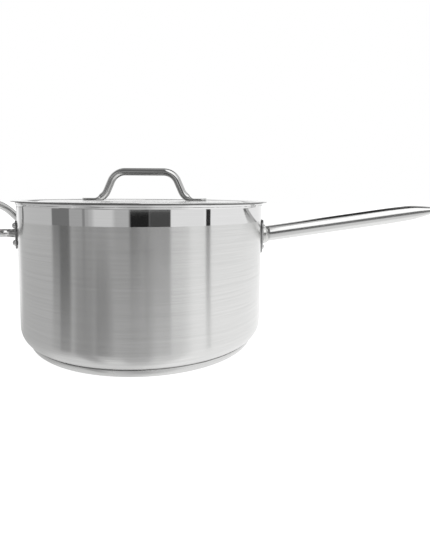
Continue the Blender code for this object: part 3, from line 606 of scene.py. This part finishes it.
tube_steel = steel("handle_tube_steel", (0.68, 0.68, 0.675), 0.13, stretch=0.5, turn=0.0, spun=False,
                   along=18.0, across=1300.0, contrast=0.04, rough_spread=0.04, haze=0.03)
handle = lay_skin("long_handle", tube_grid, "pot", [tube_steel])
hole_radius, mouth_radius, mouth_height, straight_half, beyond = 0.0045, 0.0063, 0.00181, 0.0010, 0.0200
hole_from_end = 0.0115
upper_half = [(hole_radius, straight_half, 0.0012), (mouth_radius, mouth_height, 0.0002),
              (mouth_radius, beyond), (0.0, beyond)]
lower_half = [(r, -z, *rounding) for r, z, *rounding in upper_half[::-1]]
hole_line = rounded_line(lower_half + upper_half, steps=6)
hole_axes = np.stack([tube_along, -tube_across, tube_up])
hole_place = tube_root + (reach_end - hole_from_end) * tube_along
hole_grid = turned(hole_line[::-1], 48) @ hole_axes + hole_place
punch = lay_skin("hanging_hole_punch", hole_grid, "pot", [tube_steel])
punch.hide_render = True
pierce = handle.modifiers.new("hanging_hole", "BOOLEAN")
pierce.operation, pierce.solver, pierce.object = "DIFFERENCE", "EXACT", punch
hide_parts("main_handle_tube")


# Rivets: solid steel rivets driven from inside. Each has a high domed head on the plate with a fine
# washer line round its foot, a shank through the wall, and a low flat head inside the pot.
def rivet_line(seat, head=0.0029, height=0.0026, shank=0.0020, inner=0.0040):
    """Radius and distance from the wall's face: a quarter ellipse over the head, head sin t and height
    cos t, then its washer line, the shank and the inner head."""
    washer, inner_height = 0.00025, 0.0010
    t = np.linspace(0.0, np.pi / 2, 16)[:-1]
    dome = np.stack([head * np.sin(t), seat + washer + (height - washer) * np.cos(t)], -1)
    inner_seat = -sheet - 0.0002
    inner_top = inner_seat - inner_height
    rest = rounded_line([
        (head, seat + washer), (head, seat, 0.0001), (shank, seat), (shank, inner_seat),
        (inner, inner_seat, 0.00008), (inner, inner_top, 0.0005), (0.0, inner_top)], steps=6)
    return np.concatenate([dome, rest])


def rivet(name, azimuth, height, seat, finish, *replaced):
    """A rivet's line turned about the wall's normal: place + r cos a along + r sin a up + h out."""
    line = rivet_line(seat)
    angle = 2 * np.pi * np.arange(40)[:, None] / 40
    out = np.array([math.cos(azimuth), math.sin(azimuth), 0.0])
    along, up = np.array([-out[1], out[0], 0.0]), np.array([0.0, 0.0, 1.0])
    r, h = line[:, :1, None], line[:, 1:, None]
    grid = out * wall_radius + up * height + r * (np.cos(angle) * along + np.sin(angle) * up) + h * out
    made = lay_skin(name, grid, "pot", [finish])
    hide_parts(*replaced)
    return made


rivet_steel = steel("rivet_steel", (0.66, 0.66, 0.655), 0.20, contrast=0.06, spun=False, along=300.0,
                    across=600.0, haze=0.08)
side_turn = math.asin(side_rivet[0] / wall_radius)
handle_rivets = [(side_turn, side_rivet[1]), (-side_turn, side_rivet[1]), (0.0, low_rivet[1])]
for number, (azimuth, height) in enumerate(handle_rivets, 1):
    rivet(f"handle_rivet_{number}", azimuth, height, fit_gap + plate_thickness, rivet_steel,
          f"main_handle_rivet_{number}")


# Helper plates: two upright rounded tabs of 1.5 mm steel on the other side, each held by two rivets with
# the end of the rod welded between them.
helper_thickness, helper_spread = 0.0015, 0.0410
tab_radius, tab_rounding = 0.0074, 0.0006
helper_low, helper_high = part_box("helper_handle_plate_front")
tab_circles = [(0.0, helper_high.z - tab_radius, tab_radius), (0.0, helper_low.z + tab_radius, tab_radius)]
helper_turn = math.asin(helper_spread / (wall_radius + fit_gap + helper_thickness))
helper_rivets = (helper_high.z - 0.0047, helper_low.z + 0.0057)
helper_number = 1
for side, azimuth in (("front", math.pi + helper_turn), ("back", math.pi - helper_turn)):
    tab_grid, tab_uv = pressed_plate(tab_circles, azimuth, helper_thickness, tab_rounding)
    # The tab's edge rows carry the same dark edge steel, painted shade.
    tab = lay_skin(f"helper_tab_{side}", tab_grid, "pot", [plate_steel, shaded_edge_steel],
                   plate_finish, tab_uv)
    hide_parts(f"helper_handle_plate_{side}")
    for height in helper_rivets:
        rivet(f"helper_rivet_{helper_number}", azimuth, height, fit_gap + helper_thickness, rivet_steel,
              f"helper_handle_rivet_{helper_number}")
        helper_number += 1


# Helper handle: one 8 mm steel rod bent into a rounded loop that rises as it leaves the pot, ground to
# the plates' curve and welded on.
def rod_rings(line, radius, side_of, columns=48):
    """A round rod along a line: line + r (cos a side + sin a up), where side is square to the line and
    to side_of."""
    step = np.gradient(line, axis=0)
    step /= np.linalg.norm(step, axis=1, keepdims=True)
    side = np.cross(step, side_of)
    side /= np.linalg.norm(side, axis=1, keepdims=True)
    up = np.cross(side, step)
    angle = 2 * np.pi * np.arange(columns)[:, None] / columns
    return line[:, None] + radius * (np.cos(angle) * side[:, None] + np.sin(angle) * up[:, None])


rod_radius, loop_start, loop_reach, loop_corner = 0.0040, 0.0150, 0.0530, 0.0280
rise_start, loop_rise = 0.0190, 0.0260
rod_height = rim_height - 0.0293
bend = np.linspace(np.pi / 2, 0.0, 40)
corner_out, corner_side = loop_reach - loop_corner, helper_spread - loop_corner
leg = np.linspace(loop_start, corner_out, 14)[:-1]
out_leg = np.concatenate([leg, corner_out + loop_corner * np.cos(bend)])
side_leg = np.concatenate([np.full(len(leg), helper_spread), corner_side + loop_corner * np.sin(bend)])
cross = np.linspace(side_leg[-1], -side_leg[-1], 12)[1:-1]
loop_out = np.concatenate([out_leg, np.full(len(cross), loop_reach), out_leg[::-1]])
loop_side = np.concatenate([side_leg, cross, -side_leg[::-1]])
lift = np.clip((loop_out - rise_start) / (loop_reach - rise_start), 0.0, 1.0)
loop_wall = math.sqrt(wall_radius ** 2 - helper_spread ** 2)
loop_height = rod_height + loop_rise * lift * lift * (3 - 2 * lift)
loop_line = np.stack([-loop_wall - loop_out, loop_side, loop_height], -1)
rod_grid = rod_rings(loop_line, rod_radius, np.array([0.0, 0.0, 1.0]))
weld_sink = 0.0001
ends = rod_grid[[0, -1]].copy()
ends[..., 0] = -np.sqrt((wall_radius + fit_gap + helper_thickness - weld_sink) ** 2 - ends[..., 1] ** 2)
caps = np.broadcast_to(ends.mean(1, keepdims=True), ends.shape)
rod_grid = np.concatenate([caps[:1], ends[:1], rod_grid, ends[1:], caps[1:]])
rod_steel = steel("helper_rod_steel", (0.68, 0.68, 0.675), 0.16, stretch=0.4, turn=0.0, spun=False,
                  along=25.0, across=1300.0, contrast=0.04, haze=0.05)
helper = lay_skin("helper_handle", rod_grid, "pot", [rod_steel])
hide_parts("helper_handle_rod")


# Lid: spun from 1 mm steel with a flat top, a channel that drops inside the rim to keep it centred, and a
# flange that rests on the pot's lip. The top is brushed in rings and the flange is buffed.
lid_radius, lid_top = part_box("lid_cover")[1].x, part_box("lid_cover")[1].z
lid_sheet, edge_rounding = 0.0010, 0.00045
plateau, channel = lid_top - 0.0005, lid_top - 0.0060
plateau_radius, channel_inner, channel_outer = 0.10111, 0.10649, 0.1164
plateau_under, channel_under = 0.10077, 0.10614
lid_line = rounded_line([
    (0.0, plateau), (plateau_radius, plateau, 0.0026), (channel_inner, channel, 0.0026),
    (channel_outer, channel, 0.0016), (channel_outer, lid_top, 0.0016),
    (lid_radius, lid_top, edge_rounding), (lid_radius, lid_top - lid_sheet, edge_rounding),
    (channel_outer + lid_sheet, lid_top - lid_sheet, 0.0006),
    (channel_outer + lid_sheet, channel - lid_sheet, 0.0026),
    (channel_under, channel - lid_sheet, 0.0036),
    (plateau_under, plateau - lid_sheet, 0.0016), (0.0, plateau - lid_sheet)], steps=8)
lid_satin = steel("lid_brushed_steel", (0.68, 0.68, 0.675), 0.22, stretch=0.85, across=1100.0,
                  contrast=0.05)
lid_bright = steel("lid_buffed_steel", (0.70, 0.70, 0.70), 0.08, contrast=0.02, rough_spread=0.03,
                   haze=0.03)
buffed_from, shaded_edge_from = 0.1150, 0.1190
lid_finish = np.where(lid_line[:, 0] > buffed_from, 1, 0)
# Painted shade: the flange's outer edge and underside take the dark edge steel, standing for the shadow gap
# over the pot's lip.
lid_finish[(lid_line[:, 0] > shaded_edge_from) & (lid_line[:, 1] < lid_top - 0.0003)] = 2
lid = lay_skin("lid_plate", turned(lid_line), "lid",
               [lid_satin, lid_bright, shaded_edge_steel], lid_finish)
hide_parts("lid_cover")


# Lid handle: a 7.6 mm rod bent to a bridge with sloping legs. Its two ends are pressed into flat rounded
# feet, which are spot welded to the lid.
lid_rod, foot_thickness, foot_width = 0.0038, 0.0027, 0.0100
half_span, leg_foot, leg_top = 0.0634, 0.0418, 0.0296
foot_bend, top_bend = 0.0140, 0.0155
bridge_low, bridge_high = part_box("lid_handle")
handle_middle = (bridge_low.x + bridge_high.x) / 2
foot_half = foot_thickness / 2
foot_z = plateau + fit_gap + foot_half
top_z = bridge_high.z - lid_rod
lean = math.atan2(top_z - foot_z, leg_foot - leg_top)
tip = np.sin(np.linspace(0.0, np.pi / 2, 12))
tip_x = half_span - foot_width / 2 * (1 - np.sqrt(1 - tip ** 2))
low_slope = lean * np.linspace(0.0, 1.0, 20)
low_x = leg_foot + foot_bend * math.tan(lean / 2) - foot_bend * np.sin(low_slope)
low_z = foot_z + foot_bend * (1 - np.cos(low_slope))
room = np.minimum(lid_rod, (foot_bend + foot_half) / np.cos(low_slope) - foot_bend)
flat_x = np.linspace(tip_x[-1], low_x[0], 8)[1:-1]
high_slope = lean * np.linspace(1.0, 0.0, 20)
high_x = leg_top - top_bend * math.tan(lean / 2) + top_bend * np.sin(high_slope)
high_z = top_z - top_bend * (1 - np.cos(high_slope))
top_x = np.linspace(high_x[-1], 0.0, 8)[1:]
foot_count, round_count = len(tip) + len(flat_x), len(high_x) + len(top_x)
run_x = np.concatenate([tip_x, flat_x, low_x, high_x, top_x])
run_z = np.concatenate([np.full(foot_count, foot_z), low_z, high_z, np.full(len(top_x), top_z)])
slope = np.concatenate([np.zeros(foot_count), low_slope, high_slope, np.zeros(len(top_x))])
rod_half_height = np.concatenate([np.full(foot_count, foot_half), room, np.full(round_count, lid_rod)])
rod_half_width = pressed_width(2 * lid_rod, 2 * rod_half_height) / 2
rod_half_width[:len(tip)] *= tip
tip_fill = np.clip(rod_half_width[:len(tip)] / foot_half, 0.0, 1.0)
rod_half_height[:len(tip)] *= np.sqrt(1 - (1 - tip_fill) ** 2)
rod_power = 2.0 + 1.2 * (1 - np.minimum(rod_half_height / lid_rod, 1.0))
mirrored = np.concatenate([np.ones(len(run_x)), -np.ones(len(run_x) - 1)])
whole = np.concatenate([np.arange(len(run_x)), np.arange(len(run_x) - 1)[::-1]])
bridge = np.stack([handle_middle + mirrored * run_x[whole], 0 * mirrored, run_z[whole]], -1)
bridge_up = np.stack([mirrored * np.sin(slope[whole]), 0 * mirrored, np.cos(slope[whole])], -1)
bridge_grid = oval_rings(bridge, np.array([0.0, 1.0, 0.0]), bridge_up[:, None], rod_half_width[whole],
                         rod_half_height[whole], rod_power[whole], 56)
lid_rod_steel = steel("lid_handle_steel", (0.62, 0.62, 0.615), 0.07, stretch=0.3, turn=0.0, spun=False,
                      along=25.0, across=1300.0, contrast=0.04, rough_spread=0.03, haze=0.04)
lid_handle = lay_skin("lid_bridge_handle", bridge_grid, "lid", [lid_rod_steel])
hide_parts("lid_handle")

bpy.context.view_layer.update()
